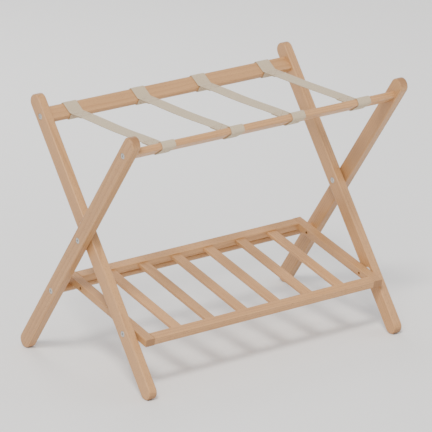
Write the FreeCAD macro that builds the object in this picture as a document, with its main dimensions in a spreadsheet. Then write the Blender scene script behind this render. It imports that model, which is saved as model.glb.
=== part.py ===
import FreeCAD, Part
import Sketcher
import math
import os

# Folding luggage rack: two crossed pairs of legs, two top rails joined by webbing straps,
# a slatted shelf and the crossbar that the shelf rests on.  Sizes are in millimetres.
# +X runs along the rails, the front is at -Y and +Z is up.  The origin is on the floor,
# in the middle of the open rack.  The outer legs lean so that their tops are at the front.

doc = FreeCAD.newDocument("LuggageRack")

sizes = {
    # legs; distances along a leg are measured on its centre line
    "leg_length": 610,
    "leg_width": 30,
    "leg_thickness": 18,
    "leg_round": 2.5,
    "leg_gap": 2,
    "lean": 36,
    "pivot_from_top": 290,
    "rail_from_top": 44,
    "crossbar_below_pivot": 152,
    "shelf_below_pivot": 190,
    # holes in the legs
    "leg_bore": 8,
    "recess_size": 12,
    "recess_depth": 3.2,
    # top rails
    "rail_length": 600,
    "rail_width": 32,
    "rail_thickness": 13,
    "rail_round": 4,
    "rail_tilt": 33,
    # crossbar
    "crossbar_size": 16,
    # webbing straps
    "strap_width": 30,
    "strap_thickness": 1.6,
    "strap_ease": 0.3,
    "strap_lap": 32,
    "inner_strap_place": 71,
    "outer_strap_inset": 74,
    # shelf
    "shelf_member": 20,
    "shelf_height": 15,
    "shelf_round": 1.5,
    "shelf_gap": 2.5,
    "shelf_pivot_inset": 46,
    "shelf_rest_gap": 0.3,
    "slat_width": 21.5,
    "slat_thickness": 6.5,
    "slat_drop": 3.5,
    "slat_housing": 5,
    "slat_ease": 0.1,
    "slat_round": 1,
    "corner_pin_size": 5,
    "corner_pin_spacing": 9,
    "corner_pin_reach": 10,
    # hardware
    "running_gap": 0.3,
    "screw_head_size": 11.4,
    "screw_head_height": 3,
    "shoulder_size": 7.92,
    "thread_size": 6,
    "rail_thread_reach": 28,
    "shelf_thread_reach": 16,
    "key_size": 4,
    "key_depth": 2,
    "sleeve_thread": 5,
    "sleeve_end_gap": 1.5,
    "sleeve_end_wall": 3,
    "pivot_thread_reach": 26,
    "pivot_washer_size": 20,
    "shelf_washer_size": 16,
}
slat_count = 6

sheet = doc.addObject("Spreadsheet::Sheet", "Sizes")
for row, (word, value) in enumerate(sizes.items(), start=1):
    sheet.set(f"A{row}", str(value))
    sheet.setAlias(f"A{row}", word)
doc.recompute()

# Places worked out from the driving sizes, as expressions on the sheet.
# A leg stands on its rounded tip, so the pivot's height follows from the leg below it.
pivot_z = (
    "((Sizes.leg_length - Sizes.pivot_from_top - Sizes.leg_width / 2) * cos(Sizes.lean)"
    " + Sizes.leg_width / 2)"
)
rail_y = "((Sizes.pivot_from_top - Sizes.rail_from_top) * sin(Sizes.lean))"
rail_z = f"({pivot_z} + (Sizes.pivot_from_top - Sizes.rail_from_top) * cos(Sizes.lean))"
crossbar_y = "(Sizes.crossbar_below_pivot * sin(Sizes.lean))"
crossbar_z = f"({pivot_z} - Sizes.crossbar_below_pivot * cos(Sizes.lean))"
shelf_y = "(-Sizes.shelf_below_pivot * sin(Sizes.lean))"
shelf_z = f"({pivot_z} - Sizes.shelf_below_pivot * cos(Sizes.lean))"

# distances of the leg faces from the middle of the rack, along X
outer_leg_face = "(Sizes.rail_length / 2)"
inner_leg_face = "(Sizes.rail_length / 2 - Sizes.leg_gap - Sizes.leg_thickness)"

# The shelf turns on the inner legs and lies on the crossbar: its middle plane passes
# rest_height above the crossbar's centre, and its back rail is centred over that line.
rest_height = (
    "(Sizes.crossbar_size / 2 + Sizes.shelf_height / 2 + Sizes.shelf_rest_gap)"
)
shelf_to_crossbar = (
    f"sqrt(({crossbar_y} - {shelf_y}) ^ 2 + ({crossbar_z} - {shelf_z}) ^ 2)"
)
shelf_slope = (
    f"(atan2({crossbar_z} - {shelf_z}; {crossbar_y} - {shelf_y})"
    f" + asin({rest_height} / {shelf_to_crossbar}))"
)
rest_line = f"sqrt({shelf_to_crossbar} ^ 2 - {rest_height} ^ 2)"
shelf_front = "(-Sizes.shelf_pivot_inset)"
shelf_back = f"({rest_line} + Sizes.shelf_member / 2)"
shelf_half = f"({inner_leg_face} - Sizes.shelf_gap)"
shelf_clear_half = f"({shelf_half} - Sizes.shelf_member)"
slat_space = (
    f"((2 * {shelf_clear_half} - {slat_count} * Sizes.slat_width) / {slat_count + 1})"
)
slat_pitch = f"({slat_space} + Sizes.slat_width)"
slat_middle_z = "(Sizes.shelf_height / 2 - Sizes.slat_drop - Sizes.slat_thickness / 2)"

# The span of a strap leaves each rail at its upper, inner edge.  corner is the centre of
# that edge's rounding; the loop of webbing lies strap_ease off the wood all round.
edge_along = "(Sizes.rail_width / 2 - Sizes.rail_round)"
edge_up = "(Sizes.rail_thickness / 2 - Sizes.rail_round)"
loop_up = "(Sizes.rail_thickness / 2 + Sizes.strap_ease + Sizes.strap_thickness)"
corner_y = (
    f"({rail_y} - {edge_along} * cos(Sizes.rail_tilt) - {edge_up} * sin(Sizes.rail_tilt))"
)
span_end_y = (
    f"({rail_y} - {edge_along} * cos(Sizes.rail_tilt) - {loop_up} * sin(Sizes.rail_tilt))"
)
span_top_z = (
    f"({rail_z} - {edge_along} * sin(Sizes.rail_tilt) + {loop_up} * cos(Sizes.rail_tilt))"
)

across = FreeCAD.Rotation(FreeCAD.Vector(0, 1, 0), 90)
tilting = FreeCAD.Rotation(FreeCAD.Vector(1, 0, 0), 1)
nodes = []


def number(expression):
    return float(sheet.evalExpression(expression))


def bind(item, **expressions):
    for name, expression in expressions.items():
        item.setExpression(name, expression)


def place(item, x="0", y="0", z="0", tilt=None):
    # tilt turns the item about an axis along X through its own origin
    if tilt is not None:
        item.Placement = FreeCAD.Placement(FreeCAD.Vector(), tilting)
        item.setExpression("Placement.Rotation.Angle", tilt)
    item.setExpression("Placement.Base.x", x)
    item.setExpression("Placement.Base.y", y)
    item.setExpression("Placement.Base.z", z)


def keep(item):
    item.Label = item.Name
    nodes.append(item)
    return item


# ---------------------------------------------------------------- PartDesign helpers

def new_body(name):
    return doc.addObject("PartDesign::Body", name)


def new_sketch(body, name, role="YZ_Plane", offset="0"):
    # offset is measured along the plane's normal: +X for YZ_Plane, -Y for XZ_Plane
    sketch = body.newObject("Sketcher::SketchObject", name)
    support = [item for item in body.Origin.OriginFeatures if item.Role == role]
    sketch.AttachmentSupport = [(support[0], "")]
    sketch.MapMode = "FlatFace"
    sketch.setExpression("AttachmentOffset.Base.z", offset)
    return sketch


def hold(sketch, kind, geometry, point, expression):
    # a signed distance from the sketch's origin to one point of its geometry
    constraint = Sketcher.Constraint(kind, -1, 1, geometry, point, number(expression))
    index = sketch.addConstraint(constraint)
    sketch.setExpression(f"Constraints[{index}]", expression)


def add_rectangle(sketch, left, right, bottom, top):
    x1, x2, y1, y2 = number(left), number(right), number(bottom), number(top)
    corners = [(x1, y1), (x2, y1), (x2, y2), (x1, y2)]
    points = [FreeCAD.Vector(x, y, 0) for x, y in corners]
    lines = [Part.LineSegment(points[i], points[(i + 1) % 4]) for i in range(4)]
    first = sketch.addGeometry(lines, False)[0]
    for i in range(4):
        following = first + (i + 1) % 4
        sketch.addConstraint(Sketcher.Constraint("Coincident", first + i, 2, following, 1))
        direction = "Vertical" if i % 2 else "Horizontal"
        sketch.addConstraint(Sketcher.Constraint(direction, first + i))
    hold(sketch, "DistanceX", first, 1, left)
    hold(sketch, "DistanceY", first, 1, bottom)
    hold(sketch, "DistanceX", first + 1, 2, right)
    hold(sketch, "DistanceY", first + 1, 2, top)


def add_circle(sketch, diameter, x="0", y="0"):
    centre = FreeCAD.Vector(number(x), number(y), 0)
    circle = Part.Circle(centre, FreeCAD.Vector(0, 0, 1), number(diameter) / 2)
    index = sketch.addGeometry(circle, False)
    size = Sketcher.Constraint("Diameter", index, number(diameter))
    sketch.setExpression(f"Constraints[{sketch.addConstraint(size)}]", diameter)
    hold(sketch, "DistanceX", index, 3, x)
    hold(sketch, "DistanceY", index, 3, y)


def pad(body, sketch, name, length, reversed_=False, symmetric=False):
    feature = body.newObject("PartDesign::Pad", name)
    feature.Profile = sketch
    feature.SideType = "Symmetric" if symmetric else "One side"
    feature.Reversed = reversed_
    feature.setExpression("Length", length)
    doc.recompute()
    return feature


def pocket(body, sketch, name, depth=None, reversed_=False):
    # with no depth the pocket goes right through, both ways
    before = body.Shape.Volume
    feature = body.newObject("PartDesign::Pocket", name)
    feature.Profile = sketch
    if depth is None:
        feature.SideType = "Symmetric"
        feature.Type = "ThroughAll"
    else:
        feature.Reversed = reversed_
        feature.setExpression("Length", depth)
    doc.recompute()
    if body.Shape.Volume > before - 1:
        raise RuntimeError(f"{body.Name}: {name} cuts nothing")
    return feature


def round_edges(body, feature, name, radius, chosen):
    fillet = body.newObject("PartDesign::Fillet", name)
    edges = enumerate(feature.Shape.Edges, start=1)
    fillet.Base = (feature, [f"Edge{i}" for i, edge in edges if chosen(edge)])
    fillet.setExpression("Radius", radius)
    doc.recompute()
    return fillet


def straight_along(edge, axis):
    if not isinstance(edge.Curve, Part.Line):
        return False
    return abs(edge.Curve.Direction.dot(axis)) > 0.999


def along_x(edge):
    return straight_along(edge, FreeCAD.Vector(1, 0, 0))


def along_y(edge):
    return straight_along(edge, FreeCAD.Vector(0, 1, 0))


# ---------------------------------------------------------------- primitive helpers

def rod(name, diameter, start, end, y="0", z="0"):
    # a cylinder along X between two distances from the middle of the rack
    item = doc.addObject("Part::Cylinder", name)
    item.Placement = FreeCAD.Placement(FreeCAD.Vector(), across)
    bind(item, Radius=f"({diameter}) / 2", Height=f"({end}) - ({start})")
    place(item, start, y, z)
    return item


def key_socket(name, top, y="0", z="0"):
    # the six-sided hole for a hex key, sunk from the top of a screw head
    item = doc.addObject("Part::Prism", name)
    item.Placement = FreeCAD.Placement(FreeCAD.Vector(), across)
    item.Polygon = 6
    bind(item, Circumradius="Sizes.key_size / sqrt(3)", Height="Sizes.key_depth")
    place(item, f"({top}) - Sizes.key_depth", y, z)
    return item


def fuse(name, shapes):
    item = doc.addObject("Part::MultiFuse", name)
    item.Shapes = shapes
    item.Refine = True
    return item


def cut(name, base, tool):
    item = doc.addObject("Part::Cut", name)
    item.Base = base
    item.Tool = tool
    return item


def mirrored(name, source):
    item = doc.addObject("Part::Mirroring", name)
    item.Source = source
    item.Normal = FreeCAD.Vector(1, 0, 0)
    return item


def pair(name, right):
    # the same piece at both ends of the rack, as two separate solids
    item = doc.addObject("Part::Compound", name)
    item.Links = [mirrored(f"{name}_left_one", right), right]
    return keep(item)


# ---------------------------------------------------------------- legs

def leg(name, side, inner_face, tilt, lower_bore, inward_pivot_recess):
    # Flat bar with round ends.  Its origin is on the pivot's axis at the inner face,
    # and side is +1 for the right end of the rack and -1 for the left.
    body = new_body(name)
    top = "(Sizes.pivot_from_top - Sizes.leg_width / 2)"
    bottom = "(Sizes.pivot_from_top - Sizes.leg_length + Sizes.leg_width / 2)"
    outline = new_sketch(body, f"{name}_outline")
    radius = number("Sizes.leg_width / 2")
    z_top, z_bottom = number(top), number(bottom)
    toward_x = FreeCAD.Vector(0, 0, 1)
    upper = Part.Circle(FreeCAD.Vector(0, z_top, 0), toward_x, radius)
    lower = Part.Circle(FreeCAD.Vector(0, z_bottom, 0), toward_x, radius)
    outline.addGeometry(Part.ArcOfCircle(upper, 0, math.pi), False)
    left = (FreeCAD.Vector(-radius, z_top, 0), FreeCAD.Vector(-radius, z_bottom, 0))
    outline.addGeometry(Part.LineSegment(*left), False)
    outline.addGeometry(Part.ArcOfCircle(lower, math.pi, 2 * math.pi), False)
    right = (FreeCAD.Vector(radius, z_bottom, 0), FreeCAD.Vector(radius, z_top, 0))
    outline.addGeometry(Part.LineSegment(*right), False)
    for i in range(4):
        following = (i + 1) % 4
        outline.addConstraint(Sketcher.Constraint("Tangent", i, 2, following, 1))
    outline.addConstraint(Sketcher.Constraint("Equal", 0, 2))
    width = Sketcher.Constraint("Radius", 0, radius)
    index = outline.addConstraint(width)
    outline.setExpression(f"Constraints[{index}]", "Sizes.leg_width / 2")
    hold(outline, "DistanceX", 0, 3, "0")
    hold(outline, "DistanceY", 0, 3, top)
    hold(outline, "DistanceX", 2, 3, "0")
    hold(outline, "DistanceY", 2, 3, bottom)
    bar = pad(body, outline, f"{name}_bar", "Sizes.leg_thickness", reversed_=side < 0)
    round_edges(body, bar, f"{name}_rounding", "Sizes.leg_round", on_flat_face)

    bores = new_sketch(body, f"{name}_bores")
    heights = ["(Sizes.pivot_from_top - Sizes.rail_from_top)", f"(-{lower_bore})"]
    for height in heights + ["0"]:
        add_circle(bores, "Sizes.leg_bore", "0", height)
    pocket(body, bores, f"{name}_bore_cut")

    outer_face = "Sizes.leg_thickness" if side > 0 else "-Sizes.leg_thickness"
    recesses = new_sketch(body, f"{name}_recesses", offset=outer_face)
    for height in heights if inward_pivot_recess else heights + ["0"]:
        add_circle(recesses, "Sizes.recess_size", "0", height)
    pocket(body, recesses, f"{name}_recess_cut", "Sizes.recess_depth", side < 0)
    if inward_pivot_recess:
        inward = new_sketch(body, f"{name}_pivot_recess")
        add_circle(inward, "Sizes.recess_size")
        pocket(body, inward, f"{name}_pivot_recess_cut", "Sizes.recess_depth", side > 0)
    place(body, inner_face if side > 0 else f"-{inner_face}", "0", pivot_z, tilt)
    return keep(body)


def on_flat_face(edge):
    # the leg's outline on its two flat sides, not the seams between them
    return not along_x(edge)


for word, side in (("left", -1), ("right", 1)):
    leg(f"outer_leg_{word}", side, outer_leg_face, "Sizes.lean",
        "Sizes.crossbar_below_pivot", False)
    leg(f"inner_leg_{word}", side, inner_leg_face, "-Sizes.lean",
        "Sizes.shelf_below_pivot", True)


# ---------------------------------------------------------------- top rails and crossbar

def end_bores(body, half, diameter, reach, places=(("0", "0"),)):
    # blind bores in both ends of a bar that lies along X
    for word, face, turned in (("right", half, False), ("left", f"-{half}", True)):
        sketch = new_sketch(body, f"{body.Name}_{word}_bore", offset=face)
        for y, z in places:
            add_circle(sketch, diameter, y, z)
        pocket(body, sketch, f"{body.Name}_{word}_bore_cut", reach, turned)


def rounded_bar(name, half_width, half_thickness, rounding, length):
    # a bar along X with its four long edges rounded, centred on the body's origin
    body = new_body(name)
    section = new_sketch(body, f"{name}_section")
    add_rectangle(section, f"-({half_width})", half_width,
                  f"-({half_thickness})", half_thickness)
    bar = pad(body, section, f"{name}_bar", length, symmetric=True)
    round_edges(body, bar, f"{name}_rounding", rounding, along_x)
    return body


def top_rail(name, half, y, tilt):
    body = rounded_bar(name, "Sizes.rail_width / 2", "Sizes.rail_thickness / 2",
                       "Sizes.rail_round", f"2 * {half}")
    end_bores(body, half, "Sizes.thread_size", "Sizes.rail_thread_reach")
    place(body, "0", y, rail_z, tilt)
    return keep(body)


# the rails slope down towards each other, so the straps leave them at the inner edge
top_rail("front_rail", outer_leg_face, f"-{rail_y}", "-Sizes.rail_tilt")
top_rail("back_rail", inner_leg_face, rail_y, "Sizes.rail_tilt")

crossbar = new_body("crossbar")
crossbar_section = new_sketch(crossbar, "crossbar_section")
add_circle(crossbar_section, "Sizes.crossbar_size")
pad(crossbar, crossbar_section, "crossbar_bar", "Sizes.rail_length", symmetric=True)
end_bores(crossbar, outer_leg_face, "Sizes.thread_size", "Sizes.rail_thread_reach")
place(crossbar, "0", crossbar_y, crossbar_z)
keep(crossbar)


# ---------------------------------------------------------------- webbing straps

def strap_wrap(name, y, tilt):
    # the loop of webbing round one rail, with room for the rail inside it
    inner = rounded_bar(f"{name}_inside", "Sizes.rail_width / 2 + Sizes.strap_ease",
                        "Sizes.rail_thickness / 2 + Sizes.strap_ease",
                        "Sizes.rail_round + Sizes.strap_ease", "Sizes.strap_width")
    grown = "Sizes.strap_ease + Sizes.strap_thickness"
    outer = rounded_bar(f"{name}_outside", f"Sizes.rail_width / 2 + {grown}",
                        f"Sizes.rail_thickness / 2 + {grown}",
                        f"Sizes.rail_round + {grown}", "Sizes.strap_width")
    place(inner, "0", y, rail_z, tilt)
    place(outer, "0", y, rail_z, tilt)
    return cut(name, outer, inner)


def webbing(name, start, end, bottom):
    # a flat run of webbing along Y
    item = doc.addObject("Part::Box", name)
    bind(item, Length="Sizes.strap_width", Width=f"({end}) - ({start})",
         Height="Sizes.strap_thickness")
    place(item, "-Sizes.strap_width / 2", start, bottom)
    return item


lap_start = f"({corner_y} - Sizes.rail_round - Sizes.strap_ease)"
lap_end = f"({lap_start} - Sizes.strap_lap)"
span_bottom_z = f"({span_top_z} - Sizes.strap_thickness)"
lap_bottom_z = f"({span_bottom_z} - Sizes.strap_thickness)"
strap_shapes = [
    strap_wrap("strap_front_wrap", f"-{rail_y}", "-Sizes.rail_tilt"),
    strap_wrap("strap_back_wrap", rail_y, "Sizes.rail_tilt"),
    webbing("strap_span", f"-{span_end_y}", span_end_y, span_bottom_z),
    webbing("strap_front_lap", f"-{lap_start}", f"-{lap_end}", lap_bottom_z),
    webbing("strap_back_lap", lap_end, lap_start, lap_bottom_z),
]
outer_strap_x = f"({outer_leg_face} - Sizes.outer_strap_inset)"
strap_places = [f"-{outer_strap_x}", "-Sizes.inner_strap_place",
                "Sizes.inner_strap_place", outer_strap_x]
for count, x in enumerate(strap_places, start=1):
    strap = fuse(f"strap_{count}", strap_shapes)
    place(strap, x)
    keep(strap)


# ---------------------------------------------------------------- shelf
# Every shelf piece is drawn in the shelf's own frame: the origin is on the axis that
# the shelf turns about, +Y runs towards its back rail and +Z is its upper side.

half_height = "Sizes.shelf_height / 2"
half_spacing = "Sizes.corner_pin_spacing / 2"


def place_on_shelf(item):
    place(item, "0", shelf_y, shelf_z, shelf_slope)
    return keep(item)


def slat_x(count):
    return f"({(2 * count - slat_count + 1) / 2} * {slat_pitch})"


def shelf_long_rail(name, front, back, housing_face, turned):
    # the slats are housed in the face that looks into the shelf
    body = new_body(name)
    middle = f"(({front} + {back}) / 2)"
    section = new_sketch(body, f"{name}_section")
    add_rectangle(section, front, back, f"-{half_height}", half_height)
    bar = pad(body, section, f"{name}_bar", f"2 * {shelf_clear_half}", symmetric=True)
    round_edges(body, bar, f"{name}_rounding", "Sizes.shelf_round", along_x)
    pins = [(f"{middle} - {half_spacing}", "0"), (f"{middle} + {half_spacing}", "0")]
    end_bores(body, shelf_clear_half, "Sizes.corner_pin_size",
              "Sizes.corner_pin_reach + Sizes.slat_ease", pins)
    housings = new_sketch(body, f"{name}_housings", "XZ_Plane", f"-{housing_face}")
    half_width = "(Sizes.slat_width / 2 + Sizes.slat_ease)"
    half_slat = "(Sizes.slat_thickness / 2 + Sizes.slat_ease)"
    for count in range(slat_count):
        x = slat_x(count)
        add_rectangle(housings, f"{x} - {half_width}", f"{x} + {half_width}",
                      f"{slat_middle_z} - {half_slat}", f"{slat_middle_z} + {half_slat}")
    pocket(body, housings, f"{name}_housing_cut",
           "Sizes.slat_housing + Sizes.slat_ease", turned)
    return place_on_shelf(body)


def shelf_end_rail(name, side):
    # carries the pivot bore near the front and its twin near the back
    body = new_body(name)
    near = shelf_clear_half if side > 0 else f"-{shelf_clear_half}"
    outline = new_sketch(body, f"{name}_outline", offset=near)
    add_rectangle(outline, shelf_front, shelf_back, f"-{half_height}", half_height)
    bar = pad(body, outline, f"{name}_bar", "Sizes.shelf_member", reversed_=side < 0)
    round_edges(body, bar, f"{name}_rounding", "Sizes.shelf_round", along_y)
    bores = new_sketch(body, f"{name}_bores", offset=near)
    for y in ("0", f"{shelf_back} - Sizes.shelf_pivot_inset"):
        add_circle(bores, "Sizes.thread_size", y)
    pocket(body, bores, f"{name}_bore_cut")
    pins = new_sketch(body, f"{name}_pin_bores", offset=near)
    front_middle = f"({shelf_front} + Sizes.shelf_member / 2)"
    for middle in (front_middle, rest_line):
        for sign in ("-", "+"):
            add_circle(pins, "Sizes.corner_pin_size", f"{middle} {sign} {half_spacing}")
    pocket(body, pins, f"{name}_pin_bore_cut",
           "Sizes.corner_pin_reach + Sizes.slat_ease", side > 0)
    return place_on_shelf(body)


front_inner_face = f"({shelf_front} + Sizes.shelf_member)"
back_inner_face = f"({shelf_back} - Sizes.shelf_member)"
shelf_long_rail("shelf_front_rail", shelf_front, front_inner_face, front_inner_face, True)
shelf_long_rail("shelf_back_rail", back_inner_face, shelf_back, back_inner_face, False)
shelf_end_rail("shelf_end_rail_left", -1)
shelf_end_rail("shelf_end_rail_right", 1)

for count in range(slat_count):
    slat = new_body(f"shelf_slat_{count + 1}")
    slat_outline = new_sketch(slat, f"{slat.Name}_outline", offset=slat_x(count))
    half_slat = "Sizes.slat_thickness / 2"
    add_rectangle(slat_outline, f"{front_inner_face} - Sizes.slat_housing",
                  f"{back_inner_face} + Sizes.slat_housing",
                  f"{slat_middle_z} - {half_slat}", f"{slat_middle_z} + {half_slat}")
    slat_bar = pad(slat, slat_outline, f"{slat.Name}_bar", "Sizes.slat_width",
                   symmetric=True)
    round_edges(slat, slat_bar, f"{slat.Name}_rounding", "Sizes.slat_round", along_y)
    place_on_shelf(slat)

# wooden pins glued across the four corners of the shelf frame, two to a corner
corner_pins = []
for word, middle in (("front", f"({shelf_front} + Sizes.shelf_member / 2)"),
                     ("back", rest_line)):
    for sign in ("-", "+"):
        pin = rod(f"{word}_corner_pin_{len(corner_pins) + 1}", "Sizes.corner_pin_size",
                  f"{shelf_clear_half} - Sizes.corner_pin_reach",
                  f"{shelf_clear_half} + Sizes.corner_pin_reach",
                  f"{middle} {sign} {half_spacing}")
        corner_pins += [pin, mirrored(f"{pin.Name}_left_one", pin)]
shelf_corner_pins = doc.addObject("Part::Compound", "shelf_corner_pins")
shelf_corner_pins.Links = corner_pins
place_on_shelf(shelf_corner_pins)


# ---------------------------------------------------------------- screws and washers

def connector_screw(name, bar_end, leg_face, head_gap, reach, y, z):
    # Flat head sunk in the leg, plain shoulder in the leg's bore, thread in the bar.
    head_from = (f"({leg_face} + Sizes.leg_thickness - Sizes.recess_depth + {head_gap})")
    head_to = f"({head_from} + Sizes.screw_head_height)"
    solid = fuse(f"{name}_solid", [
        rod(f"{name}_head", "Sizes.screw_head_size", head_from, head_to, y, z),
        rod(f"{name}_shoulder", "Sizes.shoulder_size", bar_end, head_from, y, z),
        rod(f"{name}_thread", "Sizes.thread_size", f"{bar_end} - {reach}", bar_end, y, z),
    ])
    return cut(f"{name}_one", solid, key_socket(f"{name}_key", head_to, y, z))


head_play = "(Sizes.recess_depth - Sizes.screw_head_height)"
rail_reach = "(Sizes.rail_thread_reach - Sizes.running_gap)"
pair("front_rail_screws", connector_screw(
    "front_rail_screw", outer_leg_face, outer_leg_face, "0", rail_reach,
    f"-{rail_y}", rail_z))
pair("back_rail_screws", connector_screw(
    "back_rail_screw", inner_leg_face, inner_leg_face, "0", rail_reach,
    rail_y, rail_z))
pair("crossbar_screws", connector_screw(
    "crossbar_screw", outer_leg_face, outer_leg_face, "0", rail_reach,
    crossbar_y, crossbar_z))
pair("shelf_screws", connector_screw(
    "shelf_screw", shelf_half, inner_leg_face, head_play, "Sizes.shelf_thread_reach",
    shelf_y, shelf_z))


def washer(name, size, start, end, y, z):
    disc = rod(f"{name}_disc", size, start, end, y, z)
    return cut(f"{name}_one", disc, rod(f"{name}_hole", "Sizes.leg_bore", start, end, y, z))


pair("shelf_washers", washer(
    "shelf_washer", "Sizes.shelf_washer_size", shelf_half,
    f"{inner_leg_face} - Sizes.running_gap", shelf_y, shelf_z))

# The pivot of each crossed pair: a sleeve nut from the inside, held by a screw from the
# outside.  The sleeve is tight in the outer leg and runs in the inner leg.
sleeve_from = f"({inner_leg_face} + Sizes.screw_head_height)"
recess_floor = f"({outer_leg_face} + Sizes.leg_thickness - Sizes.recess_depth)"
sleeve_to = f"({recess_floor} - Sizes.sleeve_end_gap)"
sleeve_floor = f"({sleeve_from} + Sizes.sleeve_end_wall)"
screw_top = f"({recess_floor} + Sizes.screw_head_height)"

sleeve_solid = fuse("pivot_sleeve_solid", [
    rod("pivot_sleeve_head", "Sizes.screw_head_size", inner_leg_face, sleeve_from,
        z=pivot_z),
    rod("pivot_sleeve_tube", "Sizes.shoulder_size", sleeve_from, sleeve_to, z=pivot_z),
])
sleeve_bored = cut("pivot_sleeve_bored", sleeve_solid, rod(
    "pivot_sleeve_thread", "Sizes.sleeve_thread", sleeve_floor, sleeve_to, z=pivot_z))
sleeve_right = cut("pivot_sleeve_right", sleeve_bored, key_socket(
    "pivot_sleeve_key", f"{inner_leg_face} + Sizes.key_depth", z=pivot_z))
screw_solid = fuse("pivot_screw_solid", [
    rod("pivot_screw_head", "Sizes.screw_head_size", recess_floor, screw_top, z=pivot_z),
    rod("pivot_screw_shank", "Sizes.sleeve_thread",
        f"{recess_floor} - Sizes.pivot_thread_reach", recess_floor, z=pivot_z),
])
screw_right = cut("pivot_screw_right", screw_solid,
                  key_socket("pivot_screw_key", screw_top, z=pivot_z))
washer_disc = rod("pivot_washer_disc", "Sizes.pivot_washer_size",
                  f"{outer_leg_face} - Sizes.leg_gap + Sizes.running_gap",
                  outer_leg_face, z=pivot_z)
washer_right = cut("pivot_washer_right", washer_disc, rod(
    "pivot_washer_hole", "Sizes.leg_bore",
    f"{outer_leg_face} - Sizes.leg_gap + Sizes.running_gap", outer_leg_face, z=pivot_z))
for piece in (sleeve_right, screw_right, washer_right):
    keep(piece)
    keep(mirrored(piece.Name.replace("right", "left"), piece))


# ---------------------------------------------------------------- check and write

doc.recompute()
for item in doc.Objects:
    if "Invalid" in item.State or "Error" in item.State:
        raise RuntimeError(f"{item.Label} did not build: {item.State}")
for node in nodes:
    if node.Shape.isNull() or not node.Shape.isValid():
        raise RuntimeError(f"{node.Label} has no valid shape")

os.makedirs("parts", exist_ok=True)
for node in nodes:
    node.Shape.exportStep(f"parts/{node.Label}.step")
    box = node.Shape.BoundBox
    print(f"{node.Label:24} {len(node.Shape.Solids)} solid(s)"
          f"  x {box.XMin:7.1f} {box.XMax:7.1f}  y {box.YMin:7.1f} {box.YMax:7.1f}"
          f"  z {box.ZMin:6.1f} {box.ZMax:6.1f}")
print(f"shelf slope {number(shelf_slope):.2f}, shelf depth"
      f" {number(shelf_back) - number(shelf_front):.1f}, pivot height {number(pivot_z):.2f}")
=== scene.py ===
import bpy
import math
import random
from mathutils import Euler, Matrix, Vector


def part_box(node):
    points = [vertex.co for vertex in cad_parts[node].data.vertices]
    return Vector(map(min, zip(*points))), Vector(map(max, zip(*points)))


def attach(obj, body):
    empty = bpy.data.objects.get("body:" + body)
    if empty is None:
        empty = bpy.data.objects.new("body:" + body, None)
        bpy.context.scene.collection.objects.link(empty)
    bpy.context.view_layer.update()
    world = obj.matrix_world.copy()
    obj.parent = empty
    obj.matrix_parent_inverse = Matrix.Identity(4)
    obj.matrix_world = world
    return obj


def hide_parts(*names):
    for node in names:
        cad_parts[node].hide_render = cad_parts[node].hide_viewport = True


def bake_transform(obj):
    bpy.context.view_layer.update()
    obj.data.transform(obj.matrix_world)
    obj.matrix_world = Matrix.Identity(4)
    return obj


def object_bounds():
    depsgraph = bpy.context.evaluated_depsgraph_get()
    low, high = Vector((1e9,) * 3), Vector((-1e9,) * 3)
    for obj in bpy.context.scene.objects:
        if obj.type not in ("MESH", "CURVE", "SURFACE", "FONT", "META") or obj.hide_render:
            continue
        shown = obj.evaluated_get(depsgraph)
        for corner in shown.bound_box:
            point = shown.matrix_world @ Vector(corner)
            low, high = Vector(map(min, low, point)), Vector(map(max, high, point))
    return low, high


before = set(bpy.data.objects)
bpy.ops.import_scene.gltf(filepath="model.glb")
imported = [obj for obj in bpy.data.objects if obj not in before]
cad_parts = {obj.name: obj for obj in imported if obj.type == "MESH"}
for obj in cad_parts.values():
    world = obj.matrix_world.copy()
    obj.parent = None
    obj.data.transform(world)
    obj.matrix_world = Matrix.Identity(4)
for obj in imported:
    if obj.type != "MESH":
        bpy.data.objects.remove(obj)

# Folding luggage rack: clear-lacquered beech, undyed cotton webbing, zinc-plated screws.
# +X runs along the top rails, the front is at -Y, and everything is in metres.

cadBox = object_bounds()
mm = 0.001
random.seed(7)

# the camera stands far off to the front left, with a long lens; angles are in degrees
cameraStand = {"turn": -37, "height": 18.5, "lens": 310, "distance": 7.0, "aimDrop": 4 * mm}

# a soft sun from the front left, with three area lights for the shine
studio = {
    "sunPower": 2.5, "sunSpread": 14,
    "sunColour": (1, 0.965, 0.92), "sunHeading": (1.2, 1.0, -2.3),
    "areaLights": (    # name, place, size, power, colour
        ("keyLight", (-1.7, -1.5, 1.9), 1.2, 26, (1, 0.97, 0.93)),
        ("fillLight", (2.2, -1.1, 1.2), 2.0, 12, (0.93, 0.96, 1)),
        ("backLight", (0.5, 2.2, 1.7), 1.4, 22, (1, 1, 1)),
    ),
    "areaTarget": (0, 0, 0.2),
    "skyColour": (0.93, 0.95, 1, 1), "skyPower": 0.72,
    "floorColour": (0.85, 0.845, 0.83, 1), "floorRoughness": 0.8,
    "floorSize": 60, "floorDrop": 0.2 * mm,
}


def deselectAll():
    for item in bpy.context.selected_objects:
        item.select_set(False)


def pick(item):
    deselectAll()
    item.select_set(True)
    bpy.context.view_layer.objects.active = item


def centreOf(node):
    low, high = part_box(node)
    return (low + high) / 2


def nodesNamed(start):
    return sorted(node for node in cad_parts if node.startswith(start))


def addCamera():
    low, high = Vector(cadBox[0]), Vector(cadBox[1])
    aim = (low + high) / 2 - Vector((0, 0, cameraStand["aimDrop"]))
    turn = math.radians(cameraStand["turn"])
    height = math.radians(cameraStand["height"])
    back = Vector((math.sin(turn) * math.cos(height), -math.cos(turn) * math.cos(height),
                   math.sin(height)))
    bpy.ops.object.camera_add(location=aim + back * cameraStand["distance"],
                              rotation=(math.pi / 2 - height, 0, turn))
    camera = bpy.context.object
    camera.data.lens = cameraStand["lens"]
    bpy.context.scene.camera = camera


def heading(direction):
    # the rotation of a light that shines along direction
    return Vector(direction).to_track_quat("-Z", "Y").to_euler()


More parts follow.
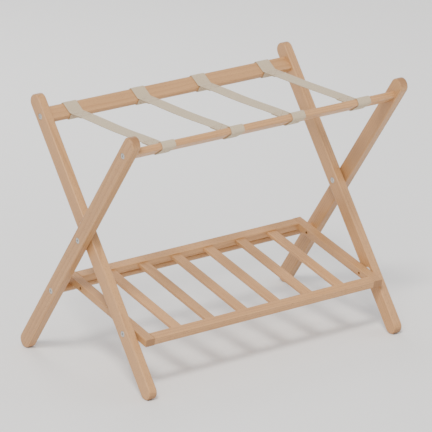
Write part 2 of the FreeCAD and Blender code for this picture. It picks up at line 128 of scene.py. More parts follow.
def addSun():
    bpy.ops.object.light_add(type="SUN", location=(-2, -2, 3))
    sun = bpy.context.object
    sun.name = "softSun"
    sun.data.energy = studio["sunPower"]
    sun.data.angle = math.radians(studio["sunSpread"])
    sun.data.color = studio["sunColour"]
    sun.rotation_euler = heading(studio["sunHeading"])


def addAreaLights():
    for name, place, size, power, colour in studio["areaLights"]:
        bpy.ops.object.light_add(type="AREA", location=place)
        light = bpy.context.object
        light.name = name
        light.data.shape = "DISK"
        light.data.size = size
        light.data.energy = power
        light.data.color = colour
        light.rotation_euler = heading(Vector(studio["areaTarget"]) - Vector(place))


def addSky():
    world = bpy.data.worlds.new("studio")
    world.use_nodes = True
    background = world.node_tree.nodes["Background"]
    background.inputs["Color"].default_value = studio["skyColour"]
    background.inputs["Strength"].default_value = studio["skyPower"]
    bpy.context.scene.world = world


def addFloor():
    bpy.ops.mesh.primitive_plane_add(size=studio["floorSize"],
                                     location=(0, 0, -studio["floorDrop"]))
    floor = bpy.context.object
    floor.name = "floor"
    material = bpy.data.materials.new("paleFloor")
    material.use_nodes = True
    shader = material.node_tree.nodes["Principled BSDF"]
    shader.inputs["Base Color"].default_value = studio["floorColour"]
    shader.inputs["Roughness"].default_value = studio["floorRoughness"]
    floor.data.materials.append(material)


addCamera()
addSun()
addAreaLights()
addSky()
addFloor()
print("camera, lights and floor")


def feed(tree, socket, value):
    # value is a socket to link, or what the socket is set to
    if isinstance(value, bpy.types.NodeSocket):
        tree.links.new(value, socket)
    else:
        socket.default_value = value


def put(tree, kind, settings=None, **inputs):
    # adds a node; i0, i1 and i2 name its inputs by place, other names as Blender has them
    node = tree.nodes.new(kind)
    for name, value in (settings or {}).items():
        setattr(node, name, value)
    for name, value in inputs.items():
        byPlace = name[1:].isdigit()
        feed(tree, node.inputs[int(name[1:]) if byPlace else name.replace("_", " ")], value)
    return node


def sums(tree, operation, a, b=0.0, c=0.0):
    # one Math node; a, b and c are numbers or sockets
    return put(tree, "ShaderNodeMath", {"operation": operation}, i0=a, i1=b, i2=c).outputs[0]


def stretch(tree, vector, scale):
    node = put(tree, "ShaderNodeVectorMath", {"operation": "MULTIPLY"}, i0=vector, i1=scale)
    return node.outputs["Vector"]


def noise(tree, vector, detail):
    node = put(tree, "ShaderNodeTexNoise", None, Vector=vector, Scale=1.0, Detail=detail)
    return node.outputs["Fac"]


def ramp(tree, value, *stops):
    # stops are (place, grey) pairs
    node = put(tree, "ShaderNodeValToRGB", None, Fac=value)
    points = node.color_ramp.elements
    while len(points) < len(stops):
        points.new(0.5)
    for point, (place, grey) in zip(points, stops):
        point.position = place
        point.color = (grey, grey, grey, 1)
    return node.outputs["Color"]


def blendColours(tree, factor, a, b):
    # in a colour Mix node, input 0 is the factor and inputs 6 and 7 are the colours
    node = put(tree, "ShaderNodeMix", {"data_type": "RGBA"}, i0=factor, i6=a, i7=b)
    return node.outputs[2]


def newGroup(name, inputs, outputs):
    # inputs map a socket's name to its kind and, for numbers, a starting value
    tree = bpy.data.node_groups.new(name, "ShaderNodeTree")
    for socketName, (kind, start) in inputs.items():
        socket = tree.interface.new_socket(socketName, in_out="INPUT", socket_type=kind)
        if start is not None:
            socket.default_value = start
    for socketName, kind in outputs.items():
        tree.interface.new_socket(socketName, in_out="OUTPUT", socket_type=kind)
    return tree, tree.nodes.new("NodeGroupInput").outputs, tree.nodes.new("NodeGroupOutput")


# clear-lacquered beech, sawn from boards some way off the tree's middle
beech = {
    "light": (0.575, 0.315, 0.135, 1),
    "dark": (0.345, 0.16, 0.058, 1),
    "fleck": (0.19, 0.08, 0.03, 1),
    "rubbed": (0.68, 0.42, 0.205, 1),
    "ringGap": 4.2 * mm,    # distance between growth rings
    "pithNear": 55 * mm,    # how far the tree's middle lies from a bar's, at least
    "pithFar": 120 * mm,    # and at most
    "pithSlide": 4,         # how far a bar's grain may start along the board, either way
    "toneSpread": 0.1,      # how much one bar differs from the next
    # how fine each pattern is along the grain and the two ways across it
    "swayScale": (2.2, 16, 16), "ringFadeScale": (1.5, 90, 90),
    "fibreScale": (9, 900, 900), "rayScale": (260, 1500, 1500), "cloudScale": (5, 34, 34),
    # how strongly each shows
    "sway": 16 * mm, "rings": 0.85, "fibres": 0.3, "clouds": 0.5, "balance": -0.33,
    "flecks": 0.55, "endGrain": 0.5, "wear": 0.4,
    # the roughness of the lacquered face, and what each adds to it
    "roughness": 0.30, "fibreRoughness": 0.16, "endRoughness": 0.2, "wearRoughness": -0.06,
    # how far flecks and rings lie below the fibres
    "fleckHeight": -0.5, "ringHeight": -0.35, "bumpStrength": 0.35, "bumpHeight": 0.4 * mm,
    "gloss": 0.36, "lacquer": 0.14, "lacquerRoughness": 0.3,
}


def makeBeechGroup():
    # Vector runs along the grain in X and is centred on the bar
    tree, given, result = newGroup("beechGrain", {
        "Vector": ("NodeSocketVector", None),
        "Pith": ("NodeSocketVector", None),
        "Half Width": ("NodeSocketFloat", 1.0),
        "Half Thickness": ("NodeSocketFloat", 1.0),
        "End": ("NodeSocketFloat", 0.0),
        "Tone": ("NodeSocketFloat", 1.0),
    }, {"Color": "NodeSocketColor", "Roughness": "NodeSocketFloat",
        "Height": "NodeSocketFloat"})
    along = given["Vector"]
    moved = put(tree, "ShaderNodeVectorMath", {"operation": "ADD"}, i0=along,
                i1=given["Pith"]).outputs["Vector"]

    # growth rings round the pith, which wander a little
    sway = noise(tree, stretch(tree, moved, beech["swayScale"]), 2.0)
    flat = stretch(tree, moved, (0, 1, 1))
    radius = put(tree, "ShaderNodeVectorMath", {"operation": "LENGTH"}, i0=flat)
    bent = sums(tree, "MULTIPLY_ADD", sway, beech["sway"], radius.outputs["Value"])
    ringPlace = sums(tree, "FRACT", sums(tree, "DIVIDE", bent, beech["ringGap"]))
    ring = ramp(tree, ringPlace, (0.0, 0.12), (0.5, 0.3), (0.9, 1.0), (1.0, 0.12))
    ringFade = noise(tree, stretch(tree, moved, beech["ringFadeScale"]), 1.0)
    ringSeen = sums(tree, "MULTIPLY", ring, ringFade)

    # fine fibres, broad clouds and the short dark flecks of the rays
    fibre = noise(tree, stretch(tree, moved, beech["fibreScale"]), 4.0)
    rays = noise(tree, stretch(tree, moved, beech["rayScale"]), 1.0)
    fleck = ramp(tree, rays, (0.0, 0.0), (0.6, 0.0), (0.7, 1.0))
    cloud = noise(tree, stretch(tree, moved, beech["cloudScale"]), 3.0)
    fibres = sums(tree, "MULTIPLY", fibre, beech["fibres"])
    clouds = sums(tree, "MULTIPLY_ADD", cloud, beech["clouds"], beech["balance"])
    grain = sums(tree, "MULTIPLY_ADD", ringSeen, beech["rings"], fibres)
    depth = ramp(tree, sums(tree, "ADD", grain, clouds), (0.0, 0.0), (1.0, 1.0))
    wood = blendColours(tree, depth, beech["light"], beech["dark"])
    flecks = sums(tree, "MULTIPLY", fleck, beech["flecks"])
    wood = blendColours(tree, flecks, wood, beech["fleck"])
    ends = sums(tree, "MULTIPLY", given["End"], beech["endGrain"])
    wood = blendColours(tree, ends, wood, beech["fleck"])

    # long edges rubbed paler, where both distances from the middle are large
    parts = put(tree, "ShaderNodeSeparateXYZ", None, Vector=along).outputs
    wide = sums(tree, "DIVIDE", sums(tree, "ABSOLUTE", parts["Y"]), given["Half Width"])
    thick = sums(tree, "DIVIDE", sums(tree, "ABSOLUTE", parts["Z"]), given["Half Thickness"])
    edge = ramp(tree, sums(tree, "MINIMUM", wide, thick), (0.0, 0.0), (0.8, 0.0), (0.97, 1.0))
    rubbed = sums(tree, "MULTIPLY", edge, ramp(tree, cloud, (0.35, 0.25), (0.65, 1.0)))
    wear = sums(tree, "MULTIPLY", rubbed, beech["wear"])
    wood = blendColours(tree, wear, wood, beech["rubbed"])
    toned = put(tree, "ShaderNodeHueSaturation", None, Value=given["Tone"], Color=wood)

    rough = sums(tree, "MULTIPLY_ADD", fibre, beech["fibreRoughness"], beech["roughness"])
    rough = sums(tree, "MULTIPLY_ADD", given["End"], beech["endRoughness"], rough)
    rough = sums(tree, "MULTIPLY_ADD", rubbed, beech["wearRoughness"], rough)
    height = sums(tree, "MULTIPLY_ADD", fleck, beech["fleckHeight"], fibre)
    height = sums(tree, "MULTIPLY_ADD", ringSeen, beech["ringHeight"], height)
    feed(tree, result.inputs["Color"], toned.outputs["Color"])
    feed(tree, result.inputs["Roughness"], rough)
    feed(tree, result.inputs["Height"], height)
    return tree


beechGroup = makeBeechGroup()


def newMaterial(name):
    material = bpy.data.materials.new(name)
    material.use_nodes = True
    return material, material.node_tree, material.node_tree.nodes["Principled BSDF"].inputs


def beechMaterial(node, turn, size):
    # turn, in degrees, brings the bar's own length onto X, so the grain follows the bar
    material, tree, shader = newMaterial(f"beech_{node}")
    turned = Euler([math.radians(angle) for angle in turn])
    middle = turned.to_matrix() @ centreOf(node)
    place = put(tree, "ShaderNodeTexCoord").outputs
    lined = put(tree, "ShaderNodeMapping", None, Vector=place["Object"], Location=-middle,
                Rotation=turned)
    facing = put(tree, "ShaderNodeMapping", {"vector_type": "VECTOR"},
                 Vector=place["Normal"], Rotation=turned)
    sideways = put(tree, "ShaderNodeSeparateXYZ", None, Vector=facing.outputs["Vector"])
    end = ramp(tree, sums(tree, "ABSOLUTE", sideways.outputs["X"]), (0.45, 0.0), (0.95, 1.0))
    angle = random.uniform(0, 2 * math.pi)
    away = random.uniform(beech["pithNear"], beech["pithFar"])
    slide = random.uniform(-beech["pithSlide"], beech["pithSlide"])
    pith = (slide, away * math.cos(angle), away * math.sin(angle))
    tone = 1 + random.uniform(-1, 1) * beech["toneSpread"]
    grain = put(tree, "ShaderNodeGroup", {"node_tree": beechGroup},
                Vector=lined.outputs["Vector"], Pith=pith, Half_Width=size[0] / 2,
                Half_Thickness=size[1] / 2, End=end, Tone=tone).outputs
    bump = put(tree, "ShaderNodeBump", None, Strength=beech["bumpStrength"],
               Distance=beech["bumpHeight"], Height=grain["Height"])
    feed(tree, shader["Base Color"], grain["Color"])
    feed(tree, shader["Roughness"], grain["Roughness"])
    feed(tree, shader["Normal"], bump.outputs["Normal"])
    shader["Specular IOR Level"].default_value = beech["gloss"]
    shader["Coat Weight"].default_value = beech["lacquer"]
    shader["Coat Roughness"].default_value = beech["lacquerRoughness"]
    return material


def paint(node, material):
    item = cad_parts[node]
    item.data.materials.clear()
    item.data.materials.append(material)


# each kind of bar's width and thickness; the legs' lean and the top rails' tilt, in degrees
bars = {
    "leg": (30 * mm, 18 * mm), "topRail": (32 * mm, 13 * mm),
    "shelfRail": (20 * mm, 15 * mm), "slat": (21.5 * mm, 6.5 * mm),
    "round": (2, 2),    # so large that it has no edges to rub
    "lean": 36, "railTilt": 33,
}


def paintWood():
    front, back = centreOf("shelf_front_rail"), centreOf("shelf_back_rail")
    slope = math.degrees(math.atan2(back.z - front.z, back.y - front.y))
    lean, tilt = bars["lean"], bars["railTilt"]
    lengthwise, crosswise = (-slope, 0, 0), (-slope, 0, -90)
    rows = []    # node, turn, kind of bar
    for side in ("left", "right"):
        rows += [(f"outer_leg_{side}", (-lean, 90, 0), "leg"),
                 (f"inner_leg_{side}", (lean, 90, 0), "leg"),
                 (f"shelf_end_rail_{side}", crosswise, "shelfRail")]
    rows += [("front_rail", (tilt, 0, 0), "topRail"),
             ("back_rail", (-tilt, 0, 0), "topRail"),
             ("crossbar", (0, 0, 0), "round"),
             ("shelf_front_rail", lengthwise, "shelfRail"),
             ("shelf_back_rail", lengthwise, "shelfRail")]
    rows += [(node, crosswise, "slat") for node in nodesNamed("shelf_slat_")]
    rows += [("shelf_corner_pins", (0, 0, 0), "round")]
    for node, turn, kind in rows:
        paint(node, beechMaterial(node, turn, bars[kind]))


paintWood()
print("wood")


# a plain finish is a little darker, smoother and lower in places
mottling = {"dark": 0.72, "roughness": 0.22, "bumpStrength": 0.3}


def makeMottleGroup():
    tree, given, result = newGroup("fineMottle", {
        "Vector": ("NodeSocketVector", None),
        "Fineness": ("NodeSocketFloat", 1.0),
        "Light": ("NodeSocketColor", None),
        "Dark": ("NodeSocketColor", None),
        "Smoothest": ("NodeSocketFloat", 0.0),
    }, {"Color": "NodeSocketColor", "Roughness": "NodeSocketFloat",
        "Height": "NodeSocketFloat"})
    mottle = noise(tree, stretch(tree, given["Vector"], given["Fineness"]), 4.0)
    feed(tree, result.inputs["Color"],
         blendColours(tree, mottle, given["Dark"], given["Light"]))
    feed(tree, result.inputs["Roughness"],
         sums(tree, "MULTIPLY_ADD", mottle, mottling["roughness"], given["Smoothest"]))
    feed(tree, result.inputs["Height"], mottle)
    return tree


mottleGroup = makeMottleGroup()


def plainMaterial(name, colour, metallic, roughness, fineness, bumpHeight):
    material, tree, shader = newMaterial(name)
    place = put(tree, "ShaderNodeTexCoord").outputs["Object"]
    darker = tuple(mottling["dark"] * part for part in colour[:3]) + (1,)
    finish = put(tree, "ShaderNodeGroup", {"node_tree": mottleGroup}, Vector=place,
                 Fineness=fineness, Light=colour, Dark=darker,
                 Smoothest=roughness - mottling["roughness"] / 2).outputs
    bump = put(tree, "ShaderNodeBump", None, Strength=mottling["bumpStrength"],
               Distance=bumpHeight, Height=finish["Height"])
    feed(tree, shader["Base Color"], finish["Color"])
    feed(tree, shader["Roughness"], finish["Roughness"])
    feed(tree, shader["Normal"], bump.outputs["Normal"])
    shader["Metallic"].default_value = metallic
    return material


zinc = plainMaterial("zincPlate", (0.60, 0.59, 0.57, 1), metallic=1.0, roughness=0.32,
                     fineness=900, bumpHeight=0.05 * mm)
nylon = plainMaterial("nylon", (0.74, 0.73, 0.69, 1), metallic=0.0, roughness=0.48,
                      fineness=600, bumpHeight=0.04 * mm)
for node in ("pivot_washer_left", "pivot_washer_right", "shelf_washers"):
    paint(node, nylon)


# sunk flat heads with a key socket, a plain shoulder and a coarse wood thread
screw = {
    "headSize": 11.4 * mm, "headHeight": 3 * mm, "headBevel": 0.45 * mm,
    "keySize": 4 * mm, "keyDepth": 2 * mm,    # the key is measured across its flats
    "shoulderSize": 7.92 * mm,
    "threadSize": 5.96 * mm, "threadCore": 4.3 * mm, "threadPitch": 2.0 * mm,
    "tipBevel": 0.86 * mm,
    "railReach": 27 * mm, "shelfReach": 16 * mm,    # how deep the thread goes
    "recess": 3.2 * mm,                             # from a leg's face to under the head
}

# a thread's ridge, in parts of its pitch or of its core
ridgeShape = {"halfFoot": 0.32, "footDepth": 0.48, "runIn": 0.4, "stepsPerTurn": 20}


def applyPlace():
    bpy.ops.object.transform_apply(location=True, rotation=True, scale=True)


def applyModifiers(item):
    pick(item)
    for modifier in list(item.modifiers):
        bpy.ops.object.modifier_apply(modifier=modifier.name)


def roundBar(size, start, end, sides=40):
    # lies along the X axis, where every screw is made before it goes to its place
    bpy.ops.mesh.primitive_cylinder_add(
        vertices=sides, radius=size / 2, depth=end - start,
        location=((start + end) / 2, 0, 0), rotation=(0, math.pi / 2, 0))
    applyPlace()
    return bpy.context.object


def copyTo(pattern, name, place, angle=0.0):
    # a copy with its own mesh, turned about the upright and then moved
    copy = pattern.copy()
    copy.data = pattern.data.copy()
    copy.data.transform(Matrix.Translation(place) @ Matrix.Rotation(angle, 4, "Z"))
    copy.name = name
    bpy.context.collection.objects.link(copy)
    return copy


def joined(name, pieces):
    deselectAll()
    for piece in pieces:
        piece.select_set(True)
    bpy.context.view_layer.objects.active = pieces[0]
    bpy.ops.object.join()
    item = bpy.context.object
    item.name = name
    return item


def cutAway(item, tool):
    cut = item.modifiers.new("cut", "BOOLEAN")
    cut.operation = "DIFFERENCE"
    cut.solver = "EXACT"
    cut.object = tool
    applyModifiers(item)
    bpy.data.objects.remove(tool, do_unlink=True)


def screwHead(inner, outer, opening):
    # a flat head bevelled round its rims, with the key socket cut into the end at opening
    head = roundBar(screw["headSize"], inner, outer, 64)
    rim = head.modifiers.new("rim", "BEVEL")
    rim.width = screw["headBevel"]
    rim.segments = 3
    rim.limit_method = "ANGLE"
    applyModifiers(head)
    acrossCorners = screw["keySize"] * 2 / math.sqrt(3)
    cutAway(head, roundBar(acrossCorners, opening - screw["keyDepth"],
                           opening + screw["keyDepth"], 6))
    return head


def threadRidge(size, core, pitch, start, end):
    # a V-shaped ridge wound round the core, with its two ends closed
    bpy.ops.mesh.primitive_circle_add(vertices=3, radius=1, fill_type="NOTHING")
    ridge = bpy.context.object
    foot = ridgeShape["halfFoot"] * pitch
    depth = ridgeShape["footDepth"] * core
    section = ((-foot, depth), (foot, depth), (0, size / 2))
    for vertex, (along, out) in zip(ridge.data.vertices, section):
        vertex.co = (along, out, 0)
    runIn = ridgeShape["runIn"] * pitch
    turns = (end - start - 2 * runIn) / pitch
    winding = ridge.modifiers.new("winding", "SCREW")
    winding.axis = "X"
    winding.angle = 2 * math.pi * turns
    winding.screw_offset = pitch * turns
    winding.steps = winding.render_steps = round(turns * ridgeShape["stepsPerTurn"])
    winding.use_smooth_shade = False
    applyModifiers(ridge)
    bpy.ops.object.mode_set(mode="EDIT")
    bpy.ops.mesh.select_all(action="SELECT")
    bpy.ops.mesh.fill_holes(sides=3)
    bpy.ops.object.mode_set(mode="OBJECT")
    ridge.location = (start + runIn, 0, 0)
    applyPlace()
    return ridge


def woodScrew(shoulder, reach):
    # the wood's end is at the origin, and the head points out along +X
    core = roundBar(screw["threadCore"], -reach, 0, 32)
    tip = core.modifiers.new("tip", "BEVEL")
    tip.width = screw["tipBevel"]
    tip.limit_method = "ANGLE"
    applyModifiers(core)
    headTop = shoulder + screw["headHeight"]
    return joined("woodScrew", [
        screwHead(shoulder, headTop, headTop),
        roundBar(screw["shoulderSize"], 0, shoulder),
        core,
        threadRidge(screw["threadSize"], screw["threadCore"], screw["threadPitch"], -reach, 0),
    ])


def mirrorToOtherEnd(item):
    mirror = item.modifiers.new("otherEnd", "MIRROR")
    mirror.use_axis = (True, False, False)
    mirror.use_mirror_merge = False
    applyModifiers(item)


def finishSteel(item, body, node):
    # faces outwards, sharp edges kept, and the piece stands for the node on its body
    pick(item)
    bpy.ops.object.mode_set(mode="EDIT")
    bpy.ops.mesh.select_all(action="SELECT")
    bpy.ops.mesh.normals_make_consistent(inside=False)
    bpy.ops.object.mode_set(mode="OBJECT")
    bpy.ops.object.shade_smooth_by_angle(angle=math.radians(35))
    item.data.materials.clear()
    item.data.materials.append(zinc)
    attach(item, body)
    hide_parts(node)


def addScrews():
    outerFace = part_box("outer_leg_right")[1].x
    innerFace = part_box("inner_leg_right")[1].x
    railShoulder = outerFace - screw["recess"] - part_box("front_rail")[1].x
    shelfShoulder = innerFace - screw["headHeight"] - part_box("shelf_end_rail_right")[1].x
    railScrew = woodScrew(railShoulder, screw["railReach"])
    shelfScrew = woodScrew(shelfShoulder, screw["shelfReach"])
    rows = (    # piece, node, body, pattern, what it is screwed into
        ("frontRailScrews", "front_rail_screws", "outer_frame", railScrew, "front_rail"),
        ("crossbarScrews", "crossbar_screws", "outer_frame", railScrew, "crossbar"),
        ("backRailScrews", "back_rail_screws", "inner_frame", railScrew, "back_rail"),
        ("shelfScrews", "shelf_screws", "shelf", shelfScrew, "shelf_end_rail_right"),
    )
    for name, node, body, pattern, bar in rows:
        middle = centreOf(node)
        item = copyTo(pattern, name, (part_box(bar)[1].x, middle.y, middle.z))
        mirrorToOtherEnd(item)
        finishSteel(item, body, node)
    for pattern in (railScrew, shelfScrew):
        bpy.data.objects.remove(pattern, do_unlink=True)


addScrews()
print("screws")


# a sleeve nut from the inside and a screw from the outside
pivot = {
    "bore": 5.1 * mm, "wall": 3 * mm,    # the sleeve is closed for its wall's thickness
    "core": 4.1 * mm, "threadSize": 4.95 * mm, "threadPitch": 0.8 * mm,
    "plain": 4 * mm,    # the part of the screw under its head that has no thread
}


def pivotSleeve():
    low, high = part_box("pivot_sleeve_right")
    headEnd = low.x + screw["headHeight"]
    head = screwHead(low.x, headEnd, low.x)
    tube = roundBar(screw["shoulderSize"], headEnd, high.x, 48)
    cutAway(tube, roundBar(pivot["bore"], headEnd + pivot["wall"], high.x + 1 * mm, 32))
    return joined("pivotSleeve", [head, tube])


def pivotScrew():
    low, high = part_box("pivot_screw_right")
    headBottom = high.x - screw["headHeight"]
    return joined("pivotScrew", [
        screwHead(headBottom, high.x, high.x),
        roundBar(pivot["core"], low.x, headBottom, 24),
        threadRidge(pivot["threadSize"], pivot["core"], pivot["threadPitch"],
                    low.x, headBottom - pivot["plain"]),
    ])


def addPivots():
    # both are made for the right-hand end, and a copy turned half round is the left-hand one
    middle = centreOf("pivot_sleeve_right")
    place = (0, middle.y, middle.z)
    patterns = (("Sleeve", pivotSleeve()), ("Screw", pivotScrew()))
    for side, turn in (("left", math.pi), ("right", 0)):
        for kind, pattern in patterns:
            item = copyTo(pattern, f"pivot{kind}{side.capitalize()}", place, turn)
            finishSteel(item, "outer_frame", f"pivot_{kind.lower()}_{side}")
    for kind, pattern in patterns:
        bpy.data.objects.remove(pattern, do_unlink=True)


addPivots()
print("pivots")


# undyed cotton webbing, sewn back on itself round each rail
strap = {
    "width": 30 * mm, "thickness": 1.5 * mm,
    "railRound": 4 * mm,     # how far a rail's edges are rounded
    "offWood": 0.35 * mm,    # between the wood and the webbing
    "spanOff": 1.9 * mm,     # from the wood to the top of the span
    "lap": 30 * mm,          # how far the loop's end lies under the span
    "lapGap": 0.05 * mm, "lapBend": 2.5 * mm, "spanBend": 5 * mm,
    "arcStep": 0.4 * mm,     # between points round a bend
    "step": 1.4 * mm,        # between rows of points along the webbing
    "ribs": 14, "pointsPerRib": 4, "ribHeight": 0.1 * mm,
    "selvedge": 1.1 * mm, "selvedgeShare": 0.45,    # width and thickness of the thin edges
    "thinnest": 0.4,
    "sag": (0.7 * mm, 1.9 * mm),
    "drift": 0.25 * mm, "driftTurns": 40,           # a slight wander to the side
}

# a herringbone weave; the colours of its hollows (painted shade, darker than the cotton), its
# yarn, its fluff and its worn cloudy places
weaving = {
    # the hollows' colour is painted shade, much darker than the undyed cotton itself
    "hollowShade": (0.34, 0.245, 0.145, 1), "yarn": (0.72, 0.595, 0.405, 1),
    "fluff": (0.80, 0.70, 0.52, 1), "handled": (0.46, 0.355, 0.22, 1),
    "yarnPitch": 1.55 * mm, "slant": 1.3,
    "fluffScale": (5000, 3000, 1), "cloudScale": (45, 60, 1),
    "fluffShare": 0.35, "cloudShare": 0.22,
    "grooveShare": 0.16,    # of a rib's width, at each of its sides
    "fluffHeight": 0.25, "bumpStrength": 0.6, "bumpHeight": 0.35 * mm,
    "roughness": 0.88, "yarnRoughness": -0.1,
    "sheen": 0.12, "sheenRoughness": 0.5,
}


def backLoop():
    # corners of the webbing's middle line round the back rail, from the end of the lap,
    # under the rail and over it, to the start of the span; (y, z) and a bend radius
    rail = centreOf("back_rail")
    angle = math.radians(bars["railTilt"])
    halfWidth, halfThickness = (size / 2 for size in bars["topRail"])
    off = strap["offWood"] + strap["thickness"] / 2
    side = halfWidth + off
    face = halfThickness + off
    bend = strap["railRound"] + off

    def at(along, up):
        return (rail.y + along * math.cos(angle) - up * math.sin(angle),
                rail.z + along * math.sin(angle) + up * math.cos(angle))

    spanZ = at(-(halfWidth - strap["railRound"]), halfThickness + strap["spanOff"])[1]
    spanZ -= strap["thickness"] / 2
    lapZ = spanZ - strap["thickness"] - strap["lapGap"]
    lowTurn = (lapZ - at(-side, 0)[1]) / math.cos(angle)
    highTurn = (spanZ - at(0, face)[1]) / math.sin(angle)
    lapStart = at(-side, lowTurn)
    corners = [
        ((lapStart[0] - strap["lap"], lapZ), 0),
        (lapStart, strap["lapBend"]),
        (at(-side, -face), bend),
        (at(side, -face), bend),
        (at(side, face), bend),
        (at(highTurn, face), strap["spanBend"]),
    ]
    return corners, spanZ, lapStart[0]


def roundedLine(corners):
    # replaces each corner by an arc and returns closely spaced points
    points = [Vector(corners[0][0])]
    for index in range(1, len(corners) - 1):
        before, here, after = (Vector(corners[index + k][0]) for k in (-1, 0, 1))
        radius = corners[index][1]
        arrive = (here - before).normalized()
        leave = (after - here).normalized()
        turn = arrive.angle_signed(leave)
        start = here - arrive * radius * math.tan(abs(turn) / 2)
        normal = Vector((-arrive.y, arrive.x)) * (-1 if turn > 0 else 1)
        middle = start + normal * radius
        steps = max(4, round(abs(turn) * radius / strap["arcStep"]))
        for step in range(steps + 1):
            spin = Matrix.Rotation(-turn * step / steps, 2)
            points.append(middle + spin @ (start - middle))
    points.append(Vector(corners[-1][0]))
    return points


def strapLine():
    # round the back rail to the middle of the span, then the same mirrored to the front
    corners, spanZ, lapStart = backLoop()
    half = roundedLine(corners + [((0.0, spanZ), 0)])
    other = [Vector((-point.x, point.y)) for point in reversed(half[:-1])]
    return half + other, lapStart, spanZ


def evenly(points, step):
    # the same line with points a fixed distance apart
    lengths = [0.0]
    for a, b in zip(points, points[1:]):
        lengths.append(lengths[-1] + (b - a).length)
    count = round(lengths[-1] / step)
    even = []
    place = 0
    for index in range(count + 1):
        target = lengths[-1] * index / count
        while place < len(points) - 2 and lengths[place + 1] < target:
            place += 1
        share = (target - lengths[place]) / (lengths[place + 1] - lengths[place])
        even.append(points[place].lerp(points[place + 1], share))
    return even, lengths[-1]


def webbingMaterial():
    # the weave is laid out on the webbing's own UV map, which is in metres
    material, tree, shader = newMaterial("cottonWebbing")
    uv = put(tree, "ShaderNodeUVMap", {"uv_map": "UVMap"}).outputs["UV"]
    parts = put(tree, "ShaderNodeSeparateXYZ", None, Vector=uv).outputs
    column = sums(tree, "DIVIDE", parts["Y"], strap["width"] / strap["ribs"])
    zigzag = sums(tree, "PINGPONG", column, 1.0)
    along = sums(tree, "DIVIDE", parts["X"], weaving["yarnPitch"])
    phase = sums(tree, "MULTIPLY_ADD", zigzag, weaving["slant"], along)
    wave = sums(tree, "SINE", sums(tree, "MULTIPLY", phase, 2 * math.pi))
    yarn = sums(tree, "MULTIPLY_ADD", wave, 0.5, 0.5)
    groove = weaving["grooveShare"]
    ribs = ramp(tree, sums(tree, "FRACT", column), (0.0, 0.0), (groove, 1.0),
                (1 - groove, 1.0), (1.0, 0.0))
    weave = sums(tree, "MULTIPLY", yarn, ribs)
    fluff = noise(tree, stretch(tree, uv, weaving["fluffScale"]), 3.0)
    cloud = noise(tree, stretch(tree, uv, weaving["cloudScale"]), 2.0)
    fluffy = sums(tree, "MULTIPLY", fluff, weaving["fluffShare"])
    cloudy = sums(tree, "MULTIPLY", cloud, weaving["cloudShare"])
    # painted shade: the weave's hollows and the grooves at each rib's sides take the darker
    # hollow colour
    shade = blendColours(tree, weave, weaving["hollowShade"], weaving["yarn"])
    shade = blendColours(tree, fluffy, shade, weaving["fluff"])
    shade = blendColours(tree, cloudy, shade, weaving["handled"])
    bump = put(tree, "ShaderNodeBump", None, Strength=weaving["bumpStrength"],
               Distance=weaving["bumpHeight"],
               Height=sums(tree, "MULTIPLY_ADD", fluff, weaving["fluffHeight"], weave))
    rough = sums(tree, "MULTIPLY_ADD", weave, weaving["yarnRoughness"], weaving["roughness"])
    feed(tree, shader["Base Color"], shade)
    feed(tree, shader["Roughness"], rough)
    feed(tree, shader["Normal"], bump.outputs["Normal"])
    shader["Sheen Weight"].default_value = weaving["sheen"]
    shader["Sheen Roughness"].default_value = weaving["sheenRoughness"]
    return material


def layWebbing(item, points, middle, slackEnd):
    # moves a flat grid's points onto the webbing's line, with ribs along it, and marks
    # how thick it is, thinner at its selvedges; the span sags between the laps' ends
    sag = random.uniform(*strap["sag"])
    wander = random.uniform(0, 6)
    last = len(points) - 1
    selvedge = item.vertex_groups.new(name="selvedge")
    for vertex in item.data.vertices:
        row = min(last, max(0, round((vertex.co.x + 0.5) * last)))
        share = vertex.co.y + 0.5
        here = points[row]
        run = (points[min(last, row + 1)] - points[max(0, row - 1)]).normalized()
        outward = Vector((run.y, -run.x))
        column = share * strap["ribs"] % 1
        spot = here + outward * strap["ribHeight"] * (math.sin(math.pi * column) - 0.5)
        slack = max(0, 1 - (here.x / slackEnd) ** 2)
        drop = sag * slack ** 2
        drift = strap["drift"] * math.sin(here.x * strap["driftTurns"] + wander)
        vertex.co = (middle + drift + (share - 0.5) * strap["width"], spot.x, spot.y - drop)
        inFromEdge = min(share, 1 - share) * strap["width"] / strap["selvedge"]
        thin = strap["selvedgeShare"]
        selvedge.add([vertex.index], min(1.0, thin + (1 - thin) * inFromEdge), "REPLACE")


def thicken(item):
    body = item.modifiers.new("thickness", "SOLIDIFY")
    body.thickness = strap["thickness"]
    body.offset = 0
    body.vertex_group = "selvedge"
    body.thickness_vertex_group = strap["thinnest"]
    applyModifiers(item)
    bpy.ops.object.shade_smooth()


def hangBetweenFrames(item, lapStart, spanZ):
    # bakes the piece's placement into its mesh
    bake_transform(item)


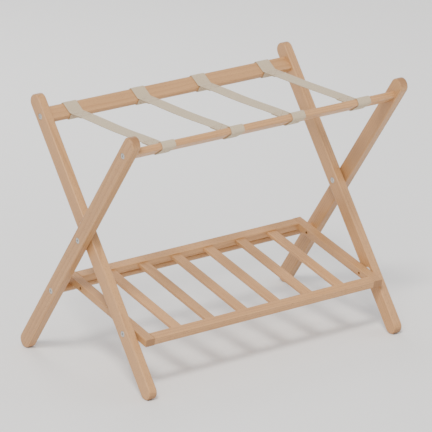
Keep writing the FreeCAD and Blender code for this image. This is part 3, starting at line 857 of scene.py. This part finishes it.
def addStraps():
    line, lapStart, spanZ = strapLine()
    points, length = evenly(line, strap["step"])
    cloth = webbingMaterial()
    for count, node in enumerate(nodesNamed("strap_"), 1):
        bpy.ops.mesh.primitive_grid_add(x_subdivisions=len(points) - 1,
                                        y_subdivisions=strap["ribs"] * strap["pointsPerRib"],
                                        size=1, calc_uvs=True)
        item = bpy.context.object
        item.name = f"webbingStrap{count}"
        x = centreOf(node).x
        layWebbing(item, points, x, lapStart - strap["lap"])
        for corner in item.data.uv_layers[0].data:
            corner.uv = (corner.uv.x * length, corner.uv.y * strap["width"])
        thicken(item)
        item.data.materials.append(cloth)
        hangBetweenFrames(item, lapStart, spanZ)
        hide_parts(node)
    print(f"straps, each cut {length:.3f} m long")
    return lapStart, spanZ


lapStart, spanZ = addStraps()


# a sewn square with its diagonals on each lap, in tan thread
stitch = {"length": 2.7 * mm, "gap": 0.8 * mm, "size": 0.75 * mm, "square": 23 * mm,
          "fromRail": 4 * mm, "thread": (0.38, 0.26, 0.135, 1)}


def oneStitch():
    bpy.ops.mesh.primitive_uv_sphere_add(segments=6, ring_count=5, radius=1)
    pattern = bpy.context.object
    pattern.scale = (stitch["size"] / 2, stitch["size"] / 2, stitch["length"] / 2)
    pattern.rotation_euler = (0, math.pi / 2, 0)
    applyPlace()
    return pattern


def stitchPlaces():
    # each stitch's middle and direction, about the middle of the square
    half = stitch["square"] / 2
    corners = [Vector(place) for place in ((-half, -half), (half, -half), (half, half),
                                           (-half, half))]
    seams = [(corners[k], corners[(k + 1) % 4]) for k in range(4)]
    seams += [(corners[0], corners[2]), (corners[1], corners[3])]
    for start, end in seams:
        run = end - start
        count = int(run.length // (stitch["length"] + stitch["gap"]))
        for index in range(count):
            yield start + run * ((index + 0.5) / count), math.atan2(run.y, run.x)


def addStitching():
    thread = plainMaterial("sewingThread", stitch["thread"], metallic=0.0, roughness=0.6,
                           fineness=2500, bumpHeight=0.03 * mm)
    pattern = oneStitch()
    above = spanZ + strap["thickness"] / 2
    below = spanZ - 1.5 * strap["thickness"] - strap["lapGap"]
    squareY = lapStart - stitch["fromRail"] - stitch["square"] / 2
    for count, node in enumerate(nodesNamed("strap_"), 1):
        x = centreOf(node).x
        copies = [copyTo(pattern, "stitch", (x + place.x, y + place.y, z), angle)
                  for y in (-squareY, squareY) for place, angle in stitchPlaces()
                  for z in (above, below)]
        item = joined(f"stitching{count}", copies)
        bpy.ops.object.shade_smooth()
        item.data.materials.append(thread)
        hangBetweenFrames(item, lapStart, spanZ)
    bpy.data.objects.remove(pattern, do_unlink=True)


addStitching()
print("stitching")
